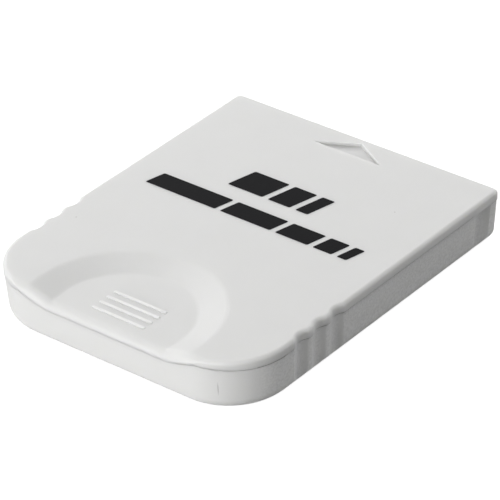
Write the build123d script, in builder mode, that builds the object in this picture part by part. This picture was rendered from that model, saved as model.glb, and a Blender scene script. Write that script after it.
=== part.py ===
"""Console memory card: two moulded shells closed for good over a small circuit board.

Millimetres. The card lies on its flat underside, with its origin at the bottom centre.
+Z is up, +Y is the way the card slides into its slot, and +X is to the right of that.
"""

import os
from math import atan, cos, radians, sin, tan

from build123d import *

os.makedirs("parts", exist_ok=True)

# Case
LENGTH = 43.0
WIDTH = 35.0
HEIGHT = 6.0
LID_HEIGHT = 1.07
LID_SKIRT = 0.18
SIDE_WALL = 1.2
FLOOR = 1.0
GRIP_CORNER_RADIUS = 7.25
SLOT_CORNER_RADIUS = 0.65
TRAY_DRAFT = 3.5
LID_EDGE_RADIUS = 0.4
TRAY_EDGE_RADIUS = 1.5
CAVITY_BLEND = 0.4

# Shadow gap along the parting line, under the lid's slight overhang
LID_OVERHANG = 0.05
SEAM_HEIGHT = 0.1
SEAM_DEPTH = 0.7

# Thumb recess in the lid, open at the grip end
RECESS_DEPTH = 0.8
RECESS_RIM_RADIUS = 10.65
RECESS_FLOOR_RADIUS = 7.65
RECESS_FROM_GRIP_END = 2.75
RECESS_RIM_BLEND = 2.0
RECESS_FLOOR_BLEND = 1.5
RECESS_FRONT_RADIUS = 0.95

# Dip of the parting line under the recess, and the crests where it rises again on both sides
DIP_WIDTH = 16.6
DIP_BLEND = 5.0
CREST_SPACING = 22.8
CREST_HEIGHT = 0.27
CREST_SPREAD = 33.2

# Small ribs on the floor of the recess
RIB_COUNT = 4
RIB_PITCH = 1.12
RIB_LENGTH = 6.9
RIB_WIDTH = 0.42
RIB_HEIGHT = 0.11
RIB_ROUND = 0.1
RIBS_FROM_GRIP_END = 3.95

# Moulded insertion arrow beside the connector end
ARROW_WIDTH = 8.8
ARROW_LENGTH = 2.55
ARROW_DEPTH = 0.4
ARROW_DRAFT = 12.0
ARROW_RIM_ROUND = 0.08
ARROW_FROM_SLOT_END = 3.4

# Grip scallops in both sides, through both shells; their cutter skims the tray's wall
SCALLOP_COUNT = 3
SCALLOP_WIDTH = 2.1
SCALLOP_GAP = 0.75
SCALLOP_DEPTH = 0.4
SCALLOP_ROUND = 0.6
SCALLOP_SKIM = 0.02
SCALLOPS_FROM_GRIP_END = 12.5

# Catch notch in both sides of the tray
NOTCH_DEPTH = 0.8
NOTCH_FLAT = 0.7
NOTCH_LENGTH = 2.7
NOTCH_ROUND = 0.25
NOTCH_FROM_SLOT_END = 4.15

# Circuit board, with a contact tongue at the connector end
BOARD_THICKNESS = 1.0
BOARD_HEIGHT = 1.5
BOARD_LENGTH = 26.7
BOARD_SIDE_GAP = 0.4
BOARD_CORNER = 0.5
TONGUE_SETBACK = 0.8
TONGUE_SIDE_GAP = 0.3
SHOULDER_GAP = 0.3

# Contact fingers under the tongue, and the window that they show through
PAD_COUNT = 12
PAD_PITCH = 2.0
PAD_WIDTH = 1.3
PAD_LENGTH = 5.0
PAD_THICKNESS = 0.1
PAD_CORNER = 0.25
PAD_SETBACK = 0.3
WINDOW_SIDE_MARGIN = 1.35
WINDOW_FRONT_MARGIN = 0.8
WINDOW_FRAME = 1.2
COVER_GAP = 0.1

# Pins of the tray, which pass through the board into tubes of the lid
PIN_DIAMETER = 1.6
PIN_LENGTH = 1.6
PIN_SPACING = 25.0
PIN_FROM_BOARD_FRONT = 3.0
PIN_GAP = 0.15
PIN_BOSS_WALL = 0.8

# Locating lips under the lid, just inside the walls of the tray
LIP_THICKNESS = 0.6
LIP_DEPTH = 0.8
LIP_GAP = 0.1
SIDE_LIP_LENGTH = 18.0
SIDE_LIP_FROM_SLOT_END = 16.0
GRIP_LIP_LENGTH = 12.0

# Memory chip with gull wing leads
CHIP_LENGTH = 18.0
CHIP_WIDTH = 7.6
CHIP_THICKNESS = 2.1
CHIP_STANDOFF = 0.1
CHIP_DRAFT = 7.0
CHIP_DIMPLE = 1.0
CHIP_DIMPLE_DEPTH = 0.1
CHIP_DIMPLE_INSET = 1.5
CHIP_FROM_SLOT_END = 15.5
LEADS_PER_SIDE = 14
LEAD_PITCH = 1.27
LEAD_WIDTH = 0.4
LEAD_THICKNESS = 0.2
LEAD_SHOULDER = 0.5
LEAD_FOOT = 0.7

# Small parts on the board, in a row in front of the chip
SMALL_PART_LENGTH = 1.6
SMALL_PART_WIDTH = 0.8
SMALL_PART_PITCH = 2.6
SMALL_PART_CAP = 0.3
SMALL_PART_CAP_STEP = 0.03
SMALL_PARTS_FROM_CHIP = 7.6
CAPACITOR_COUNT = 3
CAPACITOR_HEIGHT = 0.8
RESISTOR_COUNT = 3
RESISTOR_HEIGHT = 0.5

# Length by which a cutter runs past the face that it cuts
PAST = 1.0

# How near two equal sizes are, and how steep an edge is that stands upright
SAME_SIZE = 0.001
UPRIGHT = 0.2

# Places worked out from the sizes above
grip_end = -LENGTH / 2
slot_end = LENGTH / 2
parting = HEIGHT - LID_HEIGHT
lid_underside = parting + LID_SKIRT
roof = HEIGHT - lid_underside
tray_lean = tan(radians(TRAY_DRAFT))
board_top = BOARD_HEIGHT + BOARD_THICKNESS
recess_y = grip_end + RECESS_FROM_GRIP_END
recess_floor = HEIGHT - RECESS_DEPTH
recess_underside = recess_floor - roof
recess_slope = atan(RECESS_DEPTH / (RECESS_RIM_RADIUS - RECESS_FLOOR_RADIUS))
recess_offset = roof * tan(recess_slope / 2)
crest = parting + CREST_HEIGHT
scallops_y = grip_end + SCALLOPS_FROM_GRIP_END
scallop_pitch = SCALLOP_WIDTH + SCALLOP_GAP
scallop_radius = (SCALLOP_WIDTH**2 / 4 + SCALLOP_DEPTH**2) / (2 * SCALLOP_DEPTH)
notch_y = slot_end - NOTCH_FROM_SLOT_END
window_width = (PAD_COUNT - 1) * PAD_PITCH + PAD_WIDTH + 2 * WINDOW_SIDE_MARGIN
tongue_end = slot_end - TONGUE_SETBACK
pad_y = tongue_end - PAD_SETBACK - PAD_LENGTH / 2
window_front = pad_y - PAD_LENGTH / 2 - WINDOW_FRONT_MARGIN
board_front = tongue_end - BOARD_LENGTH
pin_y = board_front + PIN_FROM_BOARD_FRONT
pin_bore = PIN_DIAMETER + 2 * PIN_GAP
pin_boss = pin_bore + 2 * PIN_BOSS_WALL
chip_y = slot_end - CHIP_FROM_SLOT_END
small_parts_y = chip_y - SMALL_PARTS_FROM_CHIP


def case_plan(height, inset):
    """Plan of the case at a height, drawn in by inset: round at the grip end, square at the other."""
    with BuildSketch(Plane.XY.offset(height)) as plan:
        Rectangle(WIDTH - 2 * inset, LENGTH - 2 * inset)
        fillet(plan.vertices().group_by(Axis.Y)[0], GRIP_CORNER_RADIUS - inset)
    return plan.sketch


def dip_profile(drop):
    """Section of the parting line's dip, seen from the grip end, lowered by drop."""
    slope = (CREST_SPACING - DIP_WIDTH) / 2 / (crest - recess_underside)
    top_width = CREST_SPACING + 2 * slope * PAST
    with BuildSketch(Plane.XZ.offset(-grip_end + PAST)) as profile:
        with BuildLine():
            Polyline(
                (-top_width / 2, crest + PAST - drop),
                (-DIP_WIDTH / 2, recess_underside - drop),
                (DIP_WIDTH / 2, recess_underside - drop),
                (top_width / 2, crest + PAST - drop),
                close=True,
            )
        make_face()
        fillet(profile.vertices().group_by(Axis.Y)[0], DIP_BLEND)
    return profile.sketch


def crest_profile(drop):
    """Section of the crests beside the dip, seen from the grip end, lowered by drop."""
    with BuildSketch(Plane.XZ.offset(-grip_end + PAST)) as profile:
        with BuildLine():
            Polyline(
                (DIP_WIDTH / 2, parting - drop),
                (CREST_SPACING / 2, crest - drop),
                (CREST_SPREAD / 2, parting - drop),
                close=True,
            )
        make_face()
        mirror(about=Plane.YZ)
    return profile.sketch


# Case below the parting line, its cavity and the dip, which both shells take their walls from
with BuildPart() as tray_block:
    extrude(case_plan(parting, LID_OVERHANG), amount=-parting, taper=TRAY_DRAFT)
    bottom_edges = tray_block.faces().sort_by(Axis.Z)[0].edges()
    fillet(bottom_edges.sort_by(Axis.Y)[:-1], TRAY_EDGE_RADIUS)
    slot_edges = tray_block.faces().sort_by(Axis.Y)[-1].edges()
    fillet(slot_edges.sort_by(Axis.Z)[:-1], SLOT_CORNER_RADIUS)

with BuildPart() as cavity:
    extrude(case_plan(parting, SIDE_WALL), amount=FLOOR - parting, taper=TRAY_DRAFT)
    fillet(cavity.faces().sort_by(Axis.Z)[0].edges(), CAVITY_BLEND)

with BuildPart() as dip:
    extrude(dip_profile(0), amount=-(PAST + SIDE_WALL + PAST))

# Crests of the parting line round the grip corners, as thick as the walls
with BuildPart() as crests:
    extrude(crest_profile(0), amount=-(PAST + GRIP_CORNER_RADIUS))
    extrude(case_plan(parting, SIDE_WALL), amount=CREST_HEIGHT, mode=Mode.SUBTRACT)
    add(dip.part, mode=Mode.SUBTRACT)

with BuildPart() as tray_crests:
    extrude(case_plan(parting, LID_OVERHANG), amount=CREST_HEIGHT)
    add(crests.part, mode=Mode.INTERSECT)

# Underside of the lid's plate where the thumb recess presses it down into the case
with BuildPart() as recess_bulge:
    with BuildSketch(Plane.XZ.offset(-recess_y)):
        with BuildLine():
            Polyline(
                (0, recess_underside),
                (RECESS_FLOOR_RADIUS + recess_offset, recess_underside),
                (RECESS_RIM_RADIUS + recess_offset, lid_underside),
                (RECESS_RIM_RADIUS + recess_offset, lid_underside + roof / 2),
                (0, lid_underside + roof / 2),
                close=True,
            )
        make_face()
    revolve(axis=Axis((0, recess_y, 0), (0, 0, 1)))

# Block with the hollow of the thumb recess: flat floor, sloping wall, rolled over at rim and front
with BuildPart() as thumb_block:
    with BuildSketch():
        with Locations((0, grip_end)):
            Rectangle(WIDTH + 2 * PAST, LENGTH + PAST, align=(Align.CENTER, Align.MIN))
    extrude(amount=HEIGHT)
    with BuildSketch(Plane.XZ.offset(-recess_y)) as hollow:
        with BuildLine():
            reach = RECESS_RIM_BLEND * tan(recess_slope / 2)
            rise = (cos(recess_slope), sin(recess_slope))
            rim_start = (RECESS_RIM_RADIUS - reach * rise[0], HEIGHT - reach * rise[1])
            Polyline(
                (RECESS_RIM_RADIUS + reach, HEIGHT),
                (0, HEIGHT),
                (0, recess_floor),
                (RECESS_FLOOR_RADIUS, recess_floor),
                rim_start,
            )
            TangentArc(rim_start, (RECESS_RIM_RADIUS + reach, HEIGHT), tangent=rise)
        make_face()
        fillet(hollow.vertices().group_by(Axis.Y)[0].sort_by(Axis.X)[-1], RECESS_FLOOR_BLEND)
    revolve(axis=Axis((0, recess_y, 0), (0, 0, 1)), mode=Mode.SUBTRACT)
    front_edges = thumb_block.faces().sort_by(Axis.Y)[0].edges().filter_by(
        lambda edge: edge.center().Z > recess_floor - SAME_SIZE
    )
    fillet(front_edges, RECESS_FRONT_RADIUS)

# Walls of the lid below the parting line: the dip, and the cover over the board's tongue
with BuildPart() as end_cover:
    extrude(case_plan(parting, 0), amount=-parting, taper=TRAY_DRAFT)
    with BuildSketch(Plane.XY.offset(board_top)):
        with Locations((0, slot_end)):
            Rectangle(window_width - 2 * COVER_GAP, 2 * SIDE_WALL + 2 * PAST)
    extrude(amount=parting - board_top, mode=Mode.INTERSECT)

with BuildPart() as hanging_walls:
    extrude(case_plan(parting, 0), amount=-parting)
    add(dip.part, mode=Mode.INTERSECT)
    add(end_cover.part)
    add(cavity.part, mode=Mode.SUBTRACT)

# Space under the lid's plate, clear of the recess
with BuildPart() as lid_pocket:
    extrude(case_plan(parting, SIDE_WALL), amount=LID_SKIRT)
    add(recess_bulge.part, mode=Mode.SUBTRACT)

with BuildPart() as bulge_in_case:
    add(recess_bulge.part)
    add(cavity.part, mode=Mode.INTERSECT)

# Grip ribs, with rounded tops
with BuildPart() as grip_ribs:
    with BuildSketch(Plane.XY.offset(recess_floor)):
        with Locations((0, grip_end + RIBS_FROM_GRIP_END)):
            with GridLocations(0, RIB_PITCH, 1, RIB_COUNT):
                SlotOverall(RIB_LENGTH, RIB_WIDTH)
    extrude(amount=RIB_HEIGHT)
    fillet(grip_ribs.faces().group_by(Axis.Z)[-1].edges(), RIB_ROUND)

# Lid: outer form with the scallops, its upper edge rounded all along, then the recess
with BuildPart() as top_shell:
    with BuildSketch(Plane.XY.offset(parting)) as lid_plan:
        Rectangle(WIDTH, LENGTH)
        fillet(lid_plan.vertices().group_by(Axis.Y)[0], GRIP_CORNER_RADIUS)
        fillet(lid_plan.vertices().group_by(Axis.Y)[-1], SLOT_CORNER_RADIUS)
        scallop_x = WIDTH / 2 - SCALLOP_DEPTH + scallop_radius
        with Locations((-scallop_x, scallops_y), (scallop_x, scallops_y)):
            with GridLocations(0, scallop_pitch, 1, SCALLOP_COUNT):
                Circle(scallop_radius, mode=Mode.SUBTRACT)
        scallop_corners = lid_plan.vertices().filter_by(
            lambda corner: abs(corner.Y - scallops_y) < scallop_pitch * SCALLOP_COUNT / 2
        )
        fillet(scallop_corners, SCALLOP_ROUND)
    extrude(amount=LID_HEIGHT)

    # Insertion arrow, pointing into the slot
    with BuildSketch(Plane.XY.offset(HEIGHT)):
        with BuildLine():
            arrow_base = slot_end - ARROW_FROM_SLOT_END
            Polyline(
                (-ARROW_WIDTH / 2, arrow_base),
                (ARROW_WIDTH / 2, arrow_base),
                (0, arrow_base + ARROW_LENGTH),
                close=True,
            )
        make_face()
    extrude(amount=-ARROW_DEPTH, taper=ARROW_DRAFT, mode=Mode.SUBTRACT)
    arrow_rim = top_shell.edges().filter_by(
        lambda edge: abs(edge.center().Z - HEIGHT) < SAME_SIZE
        and abs(edge.center().X) < ARROW_WIDTH / 2
        and arrow_base - SAME_SIZE < edge.center().Y < arrow_base + ARROW_LENGTH
    )
    fillet(arrow_rim, ARROW_RIM_ROUND)

    # Upper edge rounded all along, walls below the parting line, and the recess
    fillet(top_shell.faces().sort_by(Axis.Z)[-1].outer_wire().edges(), LID_EDGE_RADIUS)
    add(hanging_walls.part)
    add(thumb_block.part, mode=Mode.INTERSECT)
    add(crests.part, mode=Mode.SUBTRACT)

    # Grip ribs, underside of the plate and the walls that reach below the parting line
    add(grip_ribs.part)
    add(lid_pocket.part, mode=Mode.SUBTRACT)
    add(bulge_in_case.part)

    # Locating lips behind the side walls, and behind the grip end under the recess
    side_lip_x = WIDTH / 2 - SIDE_WALL - LIP_DEPTH * tray_lean - LIP_GAP - LIP_THICKNESS / 2
    side_lip_y = slot_end - SIDE_LIP_FROM_SLOT_END
    with BuildSketch(Plane.XY.offset(parting - LIP_DEPTH)):
        with Locations((-side_lip_x, side_lip_y), (side_lip_x, side_lip_y)):
            Rectangle(LIP_THICKNESS, SIDE_LIP_LENGTH)
    extrude(amount=LIP_DEPTH + LID_SKIRT)
    grip_lip_lean = (parting - recess_underside + LIP_DEPTH) * tray_lean
    with BuildSketch(Plane.XY.offset(recess_underside - LIP_DEPTH)):
        with Locations((0, grip_end + SIDE_WALL + grip_lip_lean + LIP_GAP + LIP_THICKNESS / 2)):
            Rectangle(GRIP_LIP_LENGTH, LIP_THICKNESS)
    extrude(amount=LIP_DEPTH)

    # Tubes that take the tray's pins and hold the board down
    with BuildSketch(Plane.XY.offset(board_top)):
        with Locations((0, pin_y)):
            with GridLocations(PIN_SPACING, 0, 2, 1):
                Circle(pin_boss / 2)
                Circle(pin_bore / 2, mode=Mode.SUBTRACT)
    extrude(amount=lid_underside - board_top)

# Shadow gap in the tray's upper edge, all round and along the dip
with BuildPart() as seam:
    seam_bottom = parting - SEAM_HEIGHT
    extrude(case_plan(seam_bottom, -PAST), amount=SEAM_HEIGHT + CREST_HEIGHT)
    extrude(case_plan(seam_bottom, SEAM_DEPTH), amount=SEAM_HEIGHT + CREST_HEIGHT, mode=Mode.SUBTRACT)
    extrude(crest_profile(SEAM_HEIGHT), amount=-(PAST + GRIP_CORNER_RADIUS), mode=Mode.SUBTRACT)
    extrude(dip_profile(SEAM_HEIGHT), amount=-(PAST + SEAM_DEPTH))

# Cutters of the tray's scallops, which lean with its side walls and round off their shoulders
with BuildPart() as scallop_cutters:
    for side in (-1, 1):
        axis = Vector(-side * sin(radians(TRAY_DRAFT)), 0, -cos(radians(TRAY_DRAFT)))
        wall_top = Vector(side * (WIDTH / 2 - LID_OVERHANG - SCALLOP_SKIM), scallops_y, parting)
        with BuildSketch(Plane(wall_top - axis * PAST, x_dir=(0, 1, 0), z_dir=axis)) as bars:
            with Locations((0, side * PAST / 2)):
                Rectangle(2 * LENGTH, PAST)
            with Locations((0, side * (scallop_radius - SCALLOP_DEPTH))):
                with GridLocations(scallop_pitch, 0, SCALLOP_COUNT, 1):
                    Circle(scallop_radius)
            shoulders = bars.vertices().filter_by(
                lambda corner: abs(corner.Y) < SAME_SIZE
                and abs(corner.X) < scallop_pitch * SCALLOP_COUNT / 2 - SAME_SIZE
            )
            fillet(shoulders, SCALLOP_ROUND)
        extrude(amount=HEIGHT + 2 * PAST)

# Tray: outer form with the scallops, notches, cavity and contact window
with BuildPart() as bottom_shell:
    add(tray_block.part)
    add(scallop_cutters.part, mode=Mode.SUBTRACT)
    with BuildSketch(Plane.XY.offset(parting)):
        with BuildLine():
            notch_floor = WIDTH / 2 - NOTCH_DEPTH
            Polyline(
                (WIDTH / 2 + PAST, notch_y + NOTCH_LENGTH),
                (WIDTH / 2 + PAST, notch_y),
                (notch_floor, notch_y),
                (notch_floor, notch_y + NOTCH_FLAT),
            )
            TangentArc(
                (notch_floor, notch_y + NOTCH_FLAT),
                (WIDTH / 2, notch_y + NOTCH_LENGTH),
                tangent=(0, 1),
            )
            Line((WIDTH / 2, notch_y + NOTCH_LENGTH), (WIDTH / 2 + PAST, notch_y + NOTCH_LENGTH))
        make_face()
        mirror(about=Plane.YZ)
    extrude(amount=-parting, mode=Mode.SUBTRACT)
    notch_corners = bottom_shell.edges().filter_by(
        lambda edge: abs(edge.center().Y - notch_y) < SAME_SIZE
        and abs(edge.center().X) > notch_floor
        and abs(edge.tangent_at(0.5).Z) > UPRIGHT
    )
    fillet(notch_corners, NOTCH_ROUND)
    add(cavity.part, mode=Mode.SUBTRACT)
    add(dip.part, mode=Mode.SUBTRACT)
    add(tray_crests.part)
    add(seam.part, mode=Mode.SUBTRACT)

    # Raised frame on the floor round the window, which carries the board
    frame_front = window_front - WINDOW_FRAME
    frame_back = slot_end - SIDE_WALL / 2
    with BuildSketch(Plane.XY.offset(FLOOR / 2)):
        with Locations((0, (frame_front + frame_back) / 2)):
            Rectangle(window_width + 2 * WINDOW_FRAME, frame_back - frame_front)
    extrude(amount=BOARD_HEIGHT - FLOOR / 2)
    with BuildSketch():
        with Locations((0, (window_front + slot_end + PAST) / 2)):
            Rectangle(window_width, slot_end + PAST - window_front)
    extrude(amount=parting, mode=Mode.SUBTRACT)

    # Bosses under the board, with the pins that pass through it
    with BuildSketch(Plane.XY.offset(FLOOR / 2)):
        with Locations((0, pin_y)):
            with GridLocations(PIN_SPACING, 0, 2, 1):
                Circle(pin_boss / 2)
    extrude(amount=BOARD_HEIGHT - FLOOR / 2)
    with BuildSketch(Plane.XY.offset(BOARD_HEIGHT)):
        with Locations((0, pin_y)):
            with GridLocations(PIN_SPACING, 0, 2, 1):
                Circle(PIN_DIAMETER / 2)
    extrude(amount=BOARD_THICKNESS + PIN_LENGTH)

# Board: square shoulders inside the tray, and the contact tongue through its end wall
with BuildPart() as circuit_board:
    shoulder_end = slot_end - SIDE_WALL - SHOULDER_GAP
    board_width = WIDTH - 2 * (SIDE_WALL + BOARD_SIDE_GAP)
    with BuildSketch(Plane.XY.offset(BOARD_HEIGHT)) as board_plan:
        with Locations((0, (board_front + shoulder_end) / 2)):
            Rectangle(board_width, shoulder_end - board_front)
        fillet(board_plan.vertices(), BOARD_CORNER)
        with Locations((0, (board_front + tongue_end) / 2)):
            Rectangle(window_width - 2 * TONGUE_SIDE_GAP, BOARD_LENGTH)
        with Locations((0, pin_y)):
            with GridLocations(PIN_SPACING, 0, 2, 1):
                Circle(pin_bore / 2, mode=Mode.SUBTRACT)
    extrude(amount=BOARD_THICKNESS)

# Contact fingers, one beside the other under the tongue
contact_pads = []
for index in range(PAD_COUNT):
    with BuildPart() as contact_pad:
        with BuildSketch(Plane.XY.offset(BOARD_HEIGHT)):
            with Locations(((index - (PAD_COUNT - 1) / 2) * PAD_PITCH, pad_y)):
                RectangleRounded(PAD_WIDTH, PAD_LENGTH, PAD_CORNER)
        extrude(amount=-PAD_THICKNESS)
    contact_pads.append(contact_pad.part)

# Memory chip: two drafted halves on a straight middle band
chip_middle = board_top + CHIP_STANDOFF + CHIP_THICKNESS / 2
with BuildPart() as memory_chip:
    for up in (-1, 1):
        with BuildSketch(Plane.XY.offset(chip_middle)):
            with Locations((0, chip_y)):
                Rectangle(CHIP_LENGTH, CHIP_WIDTH)
        extrude(amount=up * LEAD_THICKNESS / 2)
        with BuildSketch(Plane.XY.offset(chip_middle + up * LEAD_THICKNESS / 2)):
            with Locations((0, chip_y)):
                Rectangle(CHIP_LENGTH, CHIP_WIDTH)
        extrude(amount=up * (CHIP_THICKNESS - LEAD_THICKNESS) / 2, taper=CHIP_DRAFT)
    dimple_x = -CHIP_LENGTH / 2 + CHIP_DIMPLE_INSET
    dimple_y = chip_y - CHIP_WIDTH / 2 + CHIP_DIMPLE_INSET
    with Locations((dimple_x, dimple_y, board_top + CHIP_STANDOFF + CHIP_THICKNESS)):
        Hole(CHIP_DIMPLE / 2, CHIP_DIMPLE_DEPTH)

# Gull wing leads down both long sides of the chip
with BuildPart() as memory_chip_leads:
    lead_row = range(LEADS_PER_SIDE)
    lead_places = [(i - (LEADS_PER_SIDE - 1) / 2) * LEAD_PITCH - LEAD_WIDTH / 2 for i in lead_row]
    lead_start = chip_y + CHIP_WIDTH / 2
    lead_knee = lead_start + LEAD_SHOULDER
    lead_level = board_top + LEAD_THICKNESS / 2
    with BuildSketch(*[Plane.YZ.offset(place) for place in lead_places]):
        with BuildLine():
            FilletPolyline(
                (lead_start, chip_middle),
                (lead_knee, chip_middle),
                (lead_knee + LEAD_THICKNESS, lead_level),
                (lead_knee + LEAD_THICKNESS + LEAD_FOOT, lead_level),
                radius=LEAD_THICKNESS,
            )
        trace(line_width=LEAD_THICKNESS)
    extrude(amount=LEAD_WIDTH)
    mirror(about=Plane.XZ.offset(-chip_y))


def small_part(place, height):
    """Chip capacitor or resistor on the board: a block between two slightly larger end caps."""
    with BuildPart() as block:
        with Locations((place, small_parts_y, board_top)):
            Box(
                SMALL_PART_WIDTH - 2 * SMALL_PART_CAP_STEP,
                SMALL_PART_LENGTH - SMALL_PART_CAP,
                height - SMALL_PART_CAP_STEP,
                align=(Align.CENTER, Align.CENTER, Align.MIN),
            )
            with GridLocations(0, SMALL_PART_LENGTH - SMALL_PART_CAP, 1, 2):
                Box(
                    SMALL_PART_WIDTH,
                    SMALL_PART_CAP,
                    height,
                    align=(Align.CENTER, Align.CENTER, Align.MIN),
                )
    return block.part


small_part_count = CAPACITOR_COUNT + RESISTOR_COUNT
small_parts = {}
for index in range(small_part_count):
    place = (index - (small_part_count - 1) / 2) * SMALL_PART_PITCH
    if index < CAPACITOR_COUNT:
        small_parts[f"capacitor_{index + 1}"] = small_part(place, CAPACITOR_HEIGHT)
    else:
        small_parts[f"resistor_{index + 1 - CAPACITOR_COUNT}"] = small_part(place, RESISTOR_HEIGHT)

# One file for each piece
pieces = {
    "top_shell": top_shell.part,
    "bottom_shell": bottom_shell.part,
    "circuit_board": circuit_board.part,
    "memory_chip": memory_chip.part,
    "memory_chip_leads": memory_chip_leads.part,
}
for index, pad in enumerate(contact_pads):
    pieces[f"contact_pad_{index + 1:02d}"] = pad
pieces.update(small_parts)
for name, piece in pieces.items():
    piece.label = name
    export_step(piece, f"parts/{name}.step")
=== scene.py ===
from math import cos, pi, radians, sin

import bpy
from mathutils import Matrix, Vector


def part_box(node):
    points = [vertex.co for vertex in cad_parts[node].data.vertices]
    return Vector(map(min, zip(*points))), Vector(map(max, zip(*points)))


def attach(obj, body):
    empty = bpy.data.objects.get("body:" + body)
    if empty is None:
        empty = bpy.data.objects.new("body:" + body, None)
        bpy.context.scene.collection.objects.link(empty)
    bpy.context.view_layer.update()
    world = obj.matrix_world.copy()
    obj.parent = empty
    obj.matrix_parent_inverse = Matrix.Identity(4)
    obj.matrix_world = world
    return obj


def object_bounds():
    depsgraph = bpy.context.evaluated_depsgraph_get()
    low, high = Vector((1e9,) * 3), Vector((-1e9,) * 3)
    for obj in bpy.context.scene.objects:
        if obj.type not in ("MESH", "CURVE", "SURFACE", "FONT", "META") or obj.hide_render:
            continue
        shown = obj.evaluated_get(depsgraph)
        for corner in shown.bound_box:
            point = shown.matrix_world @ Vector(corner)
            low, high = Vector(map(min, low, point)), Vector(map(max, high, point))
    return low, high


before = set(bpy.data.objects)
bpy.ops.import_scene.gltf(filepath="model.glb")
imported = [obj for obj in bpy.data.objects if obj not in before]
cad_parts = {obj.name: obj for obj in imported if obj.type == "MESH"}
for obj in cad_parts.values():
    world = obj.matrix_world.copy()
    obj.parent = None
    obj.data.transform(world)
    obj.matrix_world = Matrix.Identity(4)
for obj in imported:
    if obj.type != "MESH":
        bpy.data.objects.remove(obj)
cad_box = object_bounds()
bpy.context.scene.view_settings.view_transform = "Standard"

MM = 0.001


# Bottom shell: the tray that the board lies in, with the scalloped grip and the catch notches.
# Injection-moulded white plastic with a spark-eroded grain; its long sides are painted lighter in speckles,
# painted light that stands in for light catching their grain.
# The lid is closed onto its rim; painted shade darkens the ledge in the seam, and the right grip corner has
# a short scuff.
CASE_WHITE = (0.80, 0.80, 0.79, 1.0)
CASE_SHADE = (0.77, 0.77, 0.76, 1.0)
CASE_ROUGHNESS = (0.52, 0.66)
CASE_REFRACTION = 1.49
CLOUDS_PER_METRE = 210.0
GRAIN_PER_METRE = 5200.0
GRAIN_HEIGHT = 0.02 * MM
GRAIN_STRENGTH = 0.55
SCATTER_SHARE = 1.0
SCATTER_SPREAD = (1.0, 1.0, 0.95)
SCATTER_DEPTH = 0.8 * MM
# Painted light: the white that the long sides and the ribs are lightened towards.
PAINTED_LIGHT_WHITE = (0.94, 0.94, 0.93, 1.0)
# Painted light: the size, strength and spread of the lighter speckles on the long sides.
SIDE_LIGHT_PER_METRE = 4200.0
SIDE_LIGHT = 0.9
SIDE_LIGHT_SHARE = (0.3, 0.7)
SIDE_FROM = 0.85
# The colour of the real scuff and dust specks, also used for the painted shade in the seam.
MARK_AND_SHADE_COLOUR = (0.24, 0.23, 0.21, 1.0)
MARK_CORE = 0.4
SCUFF_PLACE = Vector((13.66, -20.43, 2.75)) * MM
SCUFF_REACH = Vector((0.07, 0.25, 0.95)) * MM
SCUFF_TURN = radians(29.0)
SCUFF_STRENGTH = 0.45
# Painted shade: how strongly the ledge in the seam is darkened.
SEAM_SHADE = 0.8
SEAM_FROM_MIDDLE = 16.5 * MM
SEAM_FROM_FLOOR = 4.6 * MM
SEAM_FACING = 0.6


def new_finish(name):
    """An empty finish with its surface shader."""
    finish = bpy.data.materials.new(name)
    finish.use_nodes = True
    return finish, finish.node_tree.nodes["Principled BSDF"]


def add_node(finish, kind, **values):
    """A node of that kind in a finish, with values for its sockets, whose names have spaces for lines."""
    node = finish.node_tree.nodes.new(kind)
    for name, value in values.items():
        node.inputs[name.replace("_", " ")].default_value = value
    return node


def wire(finish, source, output, target, socket):
    """A link from one node's output to another's socket."""
    finish.node_tree.links.new(source.outputs[output], target.inputs[socket])


def object_place(finish):
    """The node that gives each point's place on the card, in metres."""
    return add_node(finish, "ShaderNodeTexCoord")


def spread(finish, source, output, low, high):
    """A node that maps a 0 to 1 pattern onto a range."""
    node = add_node(finish, "ShaderNodeMapRange", To_Min=low, To_Max=high)
    wire(finish, source, output, node, "Value")
    return node


def noise(finish, place, per_metre, detail):
    """A noise pattern with that many features to the metre."""
    node = add_node(finish, "ShaderNodeTexNoise", Scale=per_metre, Detail=detail)
    wire(finish, place, "Object", node, "Vector")
    return node


def raise_grain(finish, surface, pattern, height, strength):
    """Bump on a surface from a pattern of that height."""
    bump = add_node(finish, "ShaderNodeBump", Strength=strength, Distance=height)
    wire(finish, pattern, "Fac", bump, "Height")
    wire(finish, bump, "Normal", surface, "Normal")


def blend_colours(finish, share, output, first, second):
    """A node that goes from one colour to another with a share from 0 to 1."""
    node = finish.node_tree.nodes.new("ShaderNodeMix")
    node.data_type = "RGBA"
    node.inputs["A"].default_value = first
    node.inputs["B"].default_value = second
    wire(finish, share, output, node, "Factor")
    return node


def case_plastic(name):
    """White moulded plastic: light sinks in a little, with fine grain, faint clouds and a satin gloss."""
    finish, surface = new_finish(name)
    surface.inputs["IOR"].default_value = CASE_REFRACTION
    surface.inputs["Subsurface Weight"].default_value = SCATTER_SHARE
    surface.inputs["Subsurface Radius"].default_value = SCATTER_SPREAD
    surface.inputs["Subsurface Scale"].default_value = SCATTER_DEPTH
    place = object_place(finish)
    clouds = noise(finish, place, CLOUDS_PER_METRE, 3.0)
    grain = noise(finish, place, GRAIN_PER_METRE, 2.0)
    shade = blend_colours(finish, clouds, "Fac", CASE_SHADE, CASE_WHITE)
    wire(finish, shade, "Result", surface, "Base Color")
    gloss = spread(finish, grain, "Fac", *CASE_ROUGHNESS)
    wire(finish, gloss, "Result", surface, "Roughness")
    raise_grain(finish, surface, grain, GRAIN_HEIGHT, GRAIN_STRENGTH)
    return finish


def tint(finish, share, output, colour):
    """Blends a finish towards a colour where a share from 0 to 1 says so."""
    surface = finish.node_tree.nodes["Principled BSDF"]
    below = surface.inputs["Base Color"].links[0].from_socket
    blend = blend_colours(finish, share, output, colour, colour)
    finish.node_tree.links.new(below, blend.inputs["A"])
    wire(finish, blend, "Result", surface, "Base Color")


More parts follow.
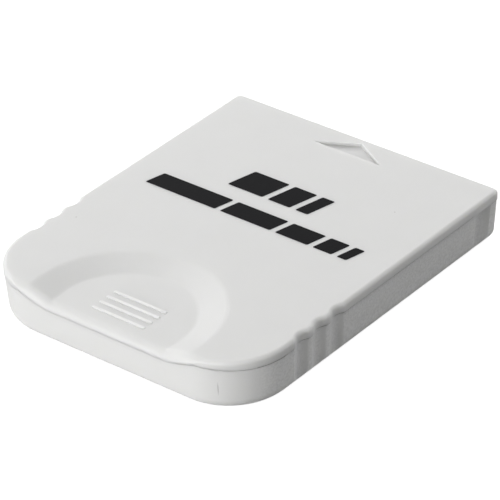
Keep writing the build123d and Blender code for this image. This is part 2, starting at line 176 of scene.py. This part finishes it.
def add_mark(finish, centre, reach, turn, strength, colour):
    """Tints a small spot of a finish, round its centre and as far as its reach, turned about the upright."""
    spot = add_node(finish, "ShaderNodeMapping", Location=centre, Rotation=(0, 0, turn), Scale=reach)
    spot.vector_type = "TEXTURE"
    wire(finish, object_place(finish), "Object", spot, "Vector")
    away = finish.node_tree.nodes.new("ShaderNodeVectorMath")
    away.operation = "LENGTH"
    wire(finish, spot, "Vector", away, "Vector")
    fade = add_node(finish, "ShaderNodeMapRange", From_Min=MARK_CORE, To_Min=strength, To_Max=0.0)
    wire(finish, away, "Value", fade, "Value")
    tint(finish, fade, "Result", colour)


def split(finish, source, output):
    """A node that parts a place or a direction into X, Y and Z."""
    node = finish.node_tree.nodes.new("ShaderNodeSeparateXYZ")
    wire(finish, source, output, node, "Vector")
    return node


def calculate(finish, operation, source, output, other=0.0):
    """A sum on a value and a number, such as a size without its sign, a comparison or a product."""
    node = finish.node_tree.nodes.new("ShaderNodeMath")
    node.operation = operation
    wire(finish, source, output, node, 0)
    node.inputs[1].default_value = other
    return node


def paint_side_light(finish):
    """Painted light: lighter speckles on the tray's two long sides, standing in for light catching their
    grain.
    """
    place = object_place(finish)
    sideways = calculate(finish, "ABSOLUTE", split(finish, place, "Normal"), "X")
    side = add_node(finish, "ShaderNodeMapRange", From_Min=SIDE_FROM, From_Max=1.0)
    wire(finish, sideways, "Value", side, "Value")
    pattern = noise(finish, place, SIDE_LIGHT_PER_METRE, 1.0)
    light_speckle = add_node(
        finish,
        "ShaderNodeMapRange",
        From_Min=SIDE_LIGHT_SHARE[0],
        From_Max=SIDE_LIGHT_SHARE[1],
        To_Max=SIDE_LIGHT,
    )
    wire(finish, pattern, "Fac", light_speckle, "Value")
    share = calculate(finish, "MULTIPLY", side, "Result")
    wire(finish, light_speckle, "Result", share, 1)
    tint(finish, share, "Value", PAINTED_LIGHT_WHITE)


def paint_seam_shade(finish):
    """Painted shade on the tray's narrow ledge in the seam, along its two sides."""
    place = object_place(finish)
    at = split(finish, place, "Object")
    facing = split(finish, place, "Normal")
    sideways = calculate(finish, "ABSOLUTE", at, "X")
    outside = calculate(finish, "GREATER_THAN", sideways, "Value", SEAM_FROM_MIDDLE)
    raised = calculate(finish, "GREATER_THAN", at, "Z", SEAM_FROM_FLOOR)
    upward = calculate(finish, "GREATER_THAN", facing, "Z", SEAM_FACING)
    share = calculate(finish, "MULTIPLY", outside, "Value", SEAM_SHADE)
    for other in (raised, upward):
        share = calculate(finish, "MULTIPLY", share, "Value")
        wire(finish, other, "Value", share, 1)
    tint(finish, share, "Value", MARK_AND_SHADE_COLOUR)


def dress(node, finish):
    """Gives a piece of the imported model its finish."""
    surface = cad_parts[node].data
    surface.materials.clear()
    surface.materials.append(finish)


tray_plastic = case_plastic("tray_plastic")
# Painted light: speckles that lighten the tray's long sides.
paint_side_light(tray_plastic)
add_mark(tray_plastic, SCUFF_PLACE, SCUFF_REACH, SCUFF_TURN, SCUFF_STRENGTH, MARK_AND_SHADE_COLOUR)
# Painted shade: darkens the tray's ledge in the seam.
paint_seam_shade(tray_plastic)
dress("bottom_shell", tray_plastic)


# Circuit board: glass laminate with green solder resist, and copper tracks that show through it.
# Its bare edges are straw-coloured, and its tongue carries the contacts in the end of the tray.
# It lies on the frame round the contact window and on two bosses, with the tray's pins through it.
RESIST_GREEN = (0.012, 0.10, 0.045, 1.0)
RESIST_OVER_COPPER = (0.03, 0.19, 0.075, 1.0)
LAMINATE_EDGE = (0.42, 0.37, 0.19, 1.0)
RESIST_ROUGHNESS = (0.28, 0.42)
TRACK_PITCH = 2.0 * MM
BANDS_PER_TURN = 20
TRACK_WAVES = 2 * pi / (BANDS_PER_TURN * TRACK_PITCH)
TRACK_SHARE = (0.70, 0.82)
TRACK_HEIGHT = 0.02 * MM
WEAVE_PER_METRE = 2600.0
EDGE_SHARE = (0.4, 0.6)

board_finish, board_surface = new_finish("board_laminate")
board_place = object_place(board_finish)
tracks = add_node(board_finish, "ShaderNodeTexWave", Scale=TRACK_WAVES, Distortion=0.0)
tracks.bands_direction = "X"
wire(board_finish, board_place, "Object", tracks, "Vector")
track_edge = add_node(
    board_finish, "ShaderNodeMapRange", From_Min=TRACK_SHARE[0], From_Max=TRACK_SHARE[1]
)
wire(board_finish, tracks, "Fac", track_edge, "Value")
resist = blend_colours(board_finish, track_edge, "Result", RESIST_GREEN, RESIST_OVER_COPPER)
upright = calculate(board_finish, "ABSOLUTE", split(board_finish, board_place, "Normal"), "Z")
bare_edge = add_node(board_finish, "ShaderNodeMapRange", From_Min=EDGE_SHARE[0], From_Max=EDGE_SHARE[1])
wire(board_finish, upright, "Value", bare_edge, "Value")
board_colour = blend_colours(board_finish, bare_edge, "Result", LAMINATE_EDGE, RESIST_GREEN)
wire(board_finish, resist, "Result", board_colour, "B")
wire(board_finish, board_colour, "Result", board_surface, "Base Color")
weave = noise(board_finish, board_place, WEAVE_PER_METRE, 2.0)
resist_gloss = spread(board_finish, weave, "Fac", *RESIST_ROUGHNESS)
wire(board_finish, resist_gloss, "Result", board_surface, "Roughness")
track_bump = add_node(board_finish, "ShaderNodeBump", Strength=1.0, Distance=TRACK_HEIGHT)
wire(board_finish, track_edge, "Result", track_bump, "Height")
wire(board_finish, track_bump, "Normal", board_surface, "Normal")
dress("circuit_board", board_finish)


# Contact pads: a row of gold-plated copper fingers under the tongue of the board.
# Thin hard gold, satin, with wipe marks along the way the card slides in.
# They are plated on the board and show through the window in the tray.
GOLD = (0.83, 0.60, 0.22, 1.0)
GOLD_WORN = (0.70, 0.49, 0.19, 1.0)
GOLD_ROUGHNESS = (0.22, 0.40)
WIPE_PER_METRE = 4200.0
WIPE_STRETCH = (1.0, 0.03, 1.0)
WIPE_HEIGHT = 0.002 * MM
WIPE_STRENGTH = 0.5

gold_finish, gold_surface = new_finish("contact_gold")
gold_surface.inputs["Metallic"].default_value = 1.0
wipe_place = add_node(gold_finish, "ShaderNodeMapping", Scale=WIPE_STRETCH)
wire(gold_finish, object_place(gold_finish), "Object", wipe_place, "Vector")
wipes = add_node(gold_finish, "ShaderNodeTexNoise", Scale=WIPE_PER_METRE, Detail=3.0)
wire(gold_finish, wipe_place, "Vector", wipes, "Vector")
gold_colour = blend_colours(gold_finish, wipes, "Fac", GOLD, GOLD_WORN)
wire(gold_finish, gold_colour, "Result", gold_surface, "Base Color")
gold_gloss = spread(gold_finish, wipes, "Fac", *GOLD_ROUGHNESS)
wire(gold_finish, gold_gloss, "Result", gold_surface, "Roughness")
raise_grain(gold_finish, gold_surface, wipes, WIPE_HEIGHT, WIPE_STRENGTH)
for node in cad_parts:
    if node.startswith("contact_pad"):
        dress(node, gold_finish)


# Memory chip and its leads: a black epoxy package on bent tinned leads, soldered to the board.
# The epoxy is matte with a fine moulded grain, and the tin is satin and slightly uneven.
# Both are closed inside the shells.
EPOXY = (0.022, 0.022, 0.024, 1.0)
EPOXY_DUSTY = (0.04, 0.04, 0.042, 1.0)
EPOXY_ROUGHNESS = (0.55, 0.72)
EPOXY_GRAIN = 0.006 * MM
TIN = (0.70, 0.70, 0.68, 1.0)
TIN_DULL = (0.52, 0.52, 0.51, 1.0)
TIN_ROUGHNESS = (0.28, 0.46)
TIN_PER_METRE = 3000.0
TIN_GRAIN = 0.003 * MM
PLAIN_STRENGTH = 0.6


def plain_finish(name, light, dark, roughness, per_metre, height, metallic):
    """A finish of two near colours, with a grain that also changes its gloss."""
    finish, surface = new_finish(name)
    surface.inputs["Metallic"].default_value = metallic
    grain = noise(finish, object_place(finish), per_metre, 3.0)
    colour = blend_colours(finish, grain, "Fac", dark, light)
    wire(finish, colour, "Result", surface, "Base Color")
    gloss = spread(finish, grain, "Fac", *roughness)
    wire(finish, gloss, "Result", surface, "Roughness")
    raise_grain(finish, surface, grain, height, PLAIN_STRENGTH)
    return finish


epoxy = plain_finish("chip_epoxy", EPOXY_DUSTY, EPOXY, EPOXY_ROUGHNESS, GRAIN_PER_METRE, EPOXY_GRAIN, 0.0)
tin = plain_finish("lead_tin", TIN, TIN_DULL, TIN_ROUGHNESS, TIN_PER_METRE, TIN_GRAIN, 1.0)
dress("memory_chip", epoxy)
dress("memory_chip_leads", tin)


# Capacitors and resistors: small surface-mounted blocks with tinned ends, in a row on the board.
# The capacitors are tan ceramic and the resistors have a black glaze.
# Each is soldered by its two end caps.
CERAMIC = (0.46, 0.33, 0.20, 1.0)
CERAMIC_DARK = (0.38, 0.26, 0.15, 1.0)
GLAZE = (0.03, 0.03, 0.034, 1.0)
GLAZE_DARK = (0.018, 0.018, 0.02, 1.0)
GLAZED_ROUGHNESS = (0.25, 0.4)
CAP_DEPTH = 0.3 * MM


def small_part_finish(name, light, dark):
    """A glazed block whose two ends along the card are tinned metal."""
    low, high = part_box("capacitor_1")
    middle = (low.y + high.y) / 2
    cap_start = (high.y - low.y) / 2 - CAP_DEPTH
    finish = plain_finish(name, light, dark, GLAZED_ROUGHNESS, TIN_PER_METRE, TIN_GRAIN, 0.0)
    surface = finish.node_tree.nodes["Principled BSDF"]
    body = surface.inputs["Base Color"].links[0].from_socket
    along = split(finish, object_place(finish), "Object")
    offset = calculate(finish, "SUBTRACT", along, "Y", middle)
    away = calculate(finish, "ABSOLUTE", offset, "Value")
    cap = calculate(finish, "GREATER_THAN", away, "Value", cap_start)
    colour = blend_colours(finish, cap, "Value", light, TIN)
    finish.node_tree.links.new(body, colour.inputs["A"])
    wire(finish, colour, "Result", surface, "Base Color")
    wire(finish, cap, "Value", surface, "Metallic")
    return finish


ceramic = small_part_finish("capacitor_ceramic", CERAMIC, CERAMIC_DARK)
glaze = small_part_finish("resistor_film", GLAZE, GLAZE_DARK)
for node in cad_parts:
    if node.startswith("capacitor"):
        dress(node, ceramic)
    if node.startswith("resistor"):
        dress(node, glaze)


# Top shell: the lid, with the thumb recess, its small ribs and the moulded insertion arrow.
# The same white plastic as the tray, with a few dust specks in it and a painted highlight on the ribs.
# It is closed for good onto the tray's rim, with a fine shadow line between the two.
SPECKS = (
    (Vector((-15.1, -8.35, 6.0)) * MM, Vector((0.09, 0.13, 0.1)) * MM, 0.45),
    (Vector((11.3, 11.5, 6.0)) * MM, Vector((0.11, 0.09, 0.1)) * MM, 0.5),
)
RIBS_PLACE = Vector((0, -17.55, 5.35)) * MM
RIBS_REACH = Vector((7.0, 5.0, 0.13)) * MM
# Painted highlight: how strongly the ribs are lightened.
RIBS_HIGHLIGHT = 0.9

lid_plastic = case_plastic("lid_plastic")
for speck_place, speck_reach, speck_strength in SPECKS:
    add_mark(lid_plastic, speck_place, speck_reach, 0.0, speck_strength, MARK_AND_SHADE_COLOUR)
# Painted highlight: lightens the ribs of the thumb recess.
add_mark(lid_plastic, RIBS_PLACE, RIBS_REACH, 0.0, RIBS_HIGHLIGHT, PAINTED_LIGHT_WHITE)
dress("top_shell", lid_plastic)


# Printed bars: two rows of slanted bars on the flat of the lid, one above the other.
# Pad-printed black ink, a film a few hundredths of a millimetre thick with soft corners.
# The film lies on the lid between the thumb recess and the arrow.
INK = (0.006, 0.006, 0.007, 1.0)
INK_THIN = (0.010, 0.010, 0.011, 1.0)
INK_ROUGHNESS = (0.45, 0.6)
INK_SHEEN = 0.02
INK_FILM = 0.02 * MM
INK_SUNK = 0.01 * MM
INK_CORNER = 0.16 * MM
INK_SLANT = 0.24
UPPER_ROW = (-6.4 * MM, 5.9 * MM, 9.5 * MM, 0.75 * MM, (4.6, 2.9, 1.6))
LOWER_ROW = (-13.8 * MM, 1.25 * MM, 3.7 * MM, 0.7 * MM, (9.4, 6.6, 4.2, 2.4, 1.2))


def ink_bar(left, width, low, high):
    """A slanted bar of ink film on the lid."""
    lid_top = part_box("top_shell")[1].z
    middle = (low + high) / 2
    bpy.ops.mesh.primitive_plane_add(size=1, location=(left + width / 2, middle, lid_top - INK_SUNK))
    bar = bpy.context.object
    bpy.ops.object.mode_set(mode="EDIT")
    bpy.ops.transform.resize(value=(width, high - low, 1))
    bpy.ops.mesh.bevel(offset=INK_CORNER, segments=3, affect="VERTICES")
    bpy.ops.mesh.extrude_region_move(TRANSFORM_OT_translate={"value": (0, 0, INK_SUNK + INK_FILM)})
    bpy.ops.mesh.select_all(action="SELECT")
    bpy.ops.mesh.normals_make_consistent(inside=False)
    bpy.ops.object.mode_set(mode="OBJECT")
    bpy.ops.object.transform_apply(location=True, rotation=True, scale=True)
    for vertex in bar.data.vertices:
        vertex.co.x += INK_SLANT * (vertex.co.y - low)
    return bar


bpy.ops.object.select_all(action="DESELECT")
bars = []
for row_left, row_low, row_high, row_gap, bar_widths in (UPPER_ROW, LOWER_ROW):
    bar_left = row_left
    for bar_width in bar_widths:
        bars.append(ink_bar(bar_left, bar_width * MM, row_low, row_high))
        bar_left += bar_width * MM + row_gap
bpy.ops.object.select_all(action="DESELECT")
for bar in bars:
    bar.select_set(True)
bpy.context.view_layer.objects.active = bars[0]
bpy.ops.object.join()
printed_bars = bpy.context.object
printed_bars.name = "printed_bars"
printed_bars.data.name = "printed_bars"
ink = plain_finish("print_ink", INK_THIN, INK, INK_ROUGHNESS, GRAIN_PER_METRE, GRAIN_HEIGHT, 0.0)
ink.node_tree.nodes["Principled BSDF"].inputs["Specular IOR Level"].default_value = INK_SHEEN
printed_bars.data.materials.append(ink)
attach(printed_bars, "root")


# Studio: a pale floor, eight soft lamps and a white surround.
# The lamps are broad discs that face the card: most from the front, low down, and from behind on the left.
# The floor and the surround look white to the camera and in reflections, and the floor keeps a soft shadow.
FLOOR_SIZE = 3.0
FLOOR_DROP = 0.03 * MM
FLOOR_COLOUR = (0.4, 0.4, 0.4, 1.0)
FLOOR_SHINE = 0.015
FLOOR_SEEN = 0.9
SURROUND_LIGHT = 0.0
SURROUND_SEEN = 1.0
LAMPS = (
    ("lamp_above", (0.0, 0.0, 0.6), 0.5, 0.77),
    ("lamp_right_above", (0.35, -0.1, 0.5), 0.35, 0.46),
    ("lamp_front", (0.0, -0.5, 0.2), 0.3, 0.46),
    ("lamp_front_low", (-0.1, -0.55, 0.06), 0.25, 2.63),
    ("lamp_left_back", (-0.48, 0.22, 0.3), 0.3, 1.05),
    ("lamp_back_left", (-0.35, 0.35, 0.3), 0.35, 0.67),
    ("lamp_back", (0.0, 0.5, 0.25), 0.3, 0.7),
    ("lamp_back_right", (0.4, 0.35, 0.2), 0.25, 0.41),
)


def shine(tree, source, unseen, seen):
    """Sets a glow's strength, with another level where it is seen directly, in a mirror or through glass."""
    path = tree.nodes.new("ShaderNodeLightPath")
    total = path.outputs["Is Camera Ray"]
    for kind in ("Is Glossy Ray", "Is Transmission Ray"):
        either = tree.nodes.new("ShaderNodeMath")
        either.operation = "MAXIMUM"
        tree.links.new(total, either.inputs[0])
        tree.links.new(path.outputs[kind], either.inputs[1])
        total = either.outputs["Value"]
    level = tree.nodes.new("ShaderNodeMapRange")
    level.inputs["To Min"].default_value = unseen
    level.inputs["To Max"].default_value = seen
    tree.links.new(total, level.inputs["Value"])
    tree.links.new(level.outputs["Result"], source.inputs["Strength"])


surround = bpy.data.worlds.new("surround")
surround.use_nodes = True
bpy.context.scene.world = surround
sky = surround.node_tree.nodes["Background"]
sky.inputs["Color"].default_value = (1.0, 1.0, 1.0, 1.0)
shine(surround.node_tree, sky, SURROUND_LIGHT, SURROUND_SEEN)

bpy.ops.mesh.primitive_plane_add(size=FLOOR_SIZE, location=(0, 0, cad_box[0].z - FLOOR_DROP))
floor = bpy.context.object
floor.name = "floor"
floor_finish = bpy.data.materials.new("floor_white")
floor_finish.use_nodes = True
floor_tree = floor_finish.node_tree
floor_tree.nodes.remove(floor_tree.nodes["Principled BSDF"])
floor_paint = floor_tree.nodes.new("ShaderNodeBsdfDiffuse")
floor_paint.inputs["Color"].default_value = FLOOR_COLOUR
floor_glow = floor_tree.nodes.new("ShaderNodeEmission")
shine(floor_tree, floor_glow, FLOOR_SHINE, FLOOR_SEEN)
floor_both = floor_tree.nodes.new("ShaderNodeAddShader")
floor_tree.links.new(floor_paint.outputs["BSDF"], floor_both.inputs[0])
floor_tree.links.new(floor_glow.outputs["Emission"], floor_both.inputs[1])
floor_tree.links.new(floor_both.outputs["Shader"], floor_tree.nodes["Material Output"].inputs["Surface"])
floor.data.materials.append(floor_finish)

for lamp_name, lamp_place, lamp_size, lamp_power in LAMPS:
    lamp_data = bpy.data.lights.new(lamp_name, "AREA")
    lamp_data.shape = "DISK"
    lamp_data.size = lamp_size
    lamp_data.energy = lamp_power
    lamp = bpy.data.objects.new(lamp_name, lamp_data)
    lamp.location = lamp_place
    lamp.rotation_euler = (-Vector(lamp_place)).to_track_quat("-Z", "Y").to_euler()
    bpy.context.scene.collection.objects.link(lamp)


# Camera: a long lens, close to the card, looking down on its right grip corner.
# It is turned by a small angle about its own line of sight.
CAMERA_PLACE = Vector((195.1, -228.6, 193.4)) * MM
CAMERA_AZIMUTH = radians(40.30)
CAMERA_ELEVATION = radians(32.34)
CAMERA_ROLL = radians(-2.65)
LENS = 247.75
SENSOR = 36.0

camera_data = bpy.data.cameras.new("camera")
camera_data.lens = LENS
camera_data.sensor_width = SENSOR
camera = bpy.data.objects.new("camera", camera_data)
ahead = Vector((
    -sin(CAMERA_AZIMUTH) * cos(CAMERA_ELEVATION),
    cos(CAMERA_AZIMUTH) * cos(CAMERA_ELEVATION),
    -sin(CAMERA_ELEVATION),
))
level = ahead.cross(Vector((0, 0, 1))).normalized()
raised = level.cross(ahead)
sideways = cos(CAMERA_ROLL) * level + sin(CAMERA_ROLL) * raised
upwards = (-ahead).cross(sideways)
turned = Matrix((sideways, upwards, -ahead)).transposed().to_4x4()
camera.matrix_world = Matrix.Translation(CAMERA_PLACE) @ turned
bpy.context.scene.collection.objects.link(camera)
bpy.context.scene.camera = camera
